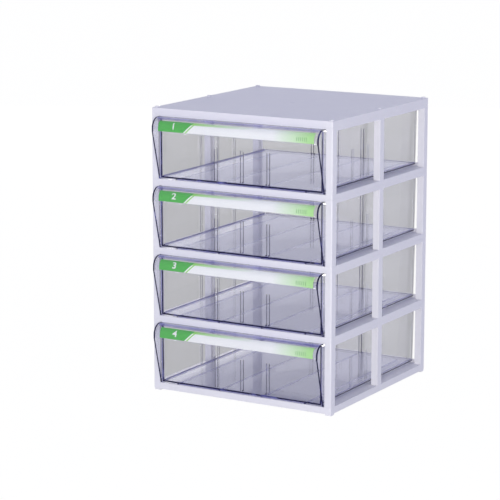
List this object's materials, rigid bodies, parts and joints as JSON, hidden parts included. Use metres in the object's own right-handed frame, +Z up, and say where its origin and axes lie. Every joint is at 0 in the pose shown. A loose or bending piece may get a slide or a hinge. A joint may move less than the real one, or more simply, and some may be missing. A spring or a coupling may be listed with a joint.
{
  "type": "drawer organizer",
  "caption": "Free-standing craft drawer cabinet: an open-sided white stacked casing with clear slide-out drawers, each with a full-width hooded pull and a label card.",
  "frame": {"origin": "middle of the footprint, hoods included, on the surface that the feet stand on", "axes": "+Z up, -Y out of the front where the drawers slide, +X to the right seen from the front"},
  "size_m": [0.257, 0.277, 0.3655],
  "materials": {
    "casing_plastic": "satin moulded, faint lavender white",
    "clear_plastic": "clear polystyrene with a faint smoky violet tint, polished",
    "label_card": "printed card, white fading to green at both ends"
  },
  "bodies": {
    "casing": {"base_panel": "casing_plastic", "shelf_1": "casing_plastic", "shelf_2": "casing_plastic", "shelf_3": "casing_plastic", "top_panel": "casing_plastic", "left_frame_1": "casing_plastic", "left_frame_2": "casing_plastic", "left_frame_3": "casing_plastic", "left_frame_4": "casing_plastic", "right_frame_1": "casing_plastic", "right_frame_2": "casing_plastic", "right_frame_3": "casing_plastic", "right_frame_4": "casing_plastic"},
    "drawer_unit_1": {"drawer_1": "clear_plastic", "label_card_1": "label_card"},
    "drawer_unit_2": {"drawer_2": "clear_plastic", "label_card_2": "label_card"},
    "drawer_unit_3": {"drawer_3": "clear_plastic", "label_card_3": "label_card"},
    "drawer_unit_4": {"drawer_4": "clear_plastic", "label_card_4": "label_card"}
  },
  "joints": [
    {"name": "drawer_1_slide", "type": "slide", "parent": "casing", "child": "drawer_unit_1", "axis": [0, -1, 0], "range_m": [0, 0.215]},
    {"name": "drawer_2_slide", "type": "slide", "parent": "casing", "child": "drawer_unit_2", "axis": [0, -1, 0], "range_m": [0, 0.215]},
    {"name": "drawer_3_slide", "type": "slide", "parent": "casing", "child": "drawer_unit_3", "axis": [0, -1, 0], "range_m": [0, 0.215]},
    {"name": "drawer_4_slide", "type": "slide", "parent": "casing", "child": "drawer_unit_4", "axis": [0, -1, 0], "range_m": [0, 0.215]}
  ]
}
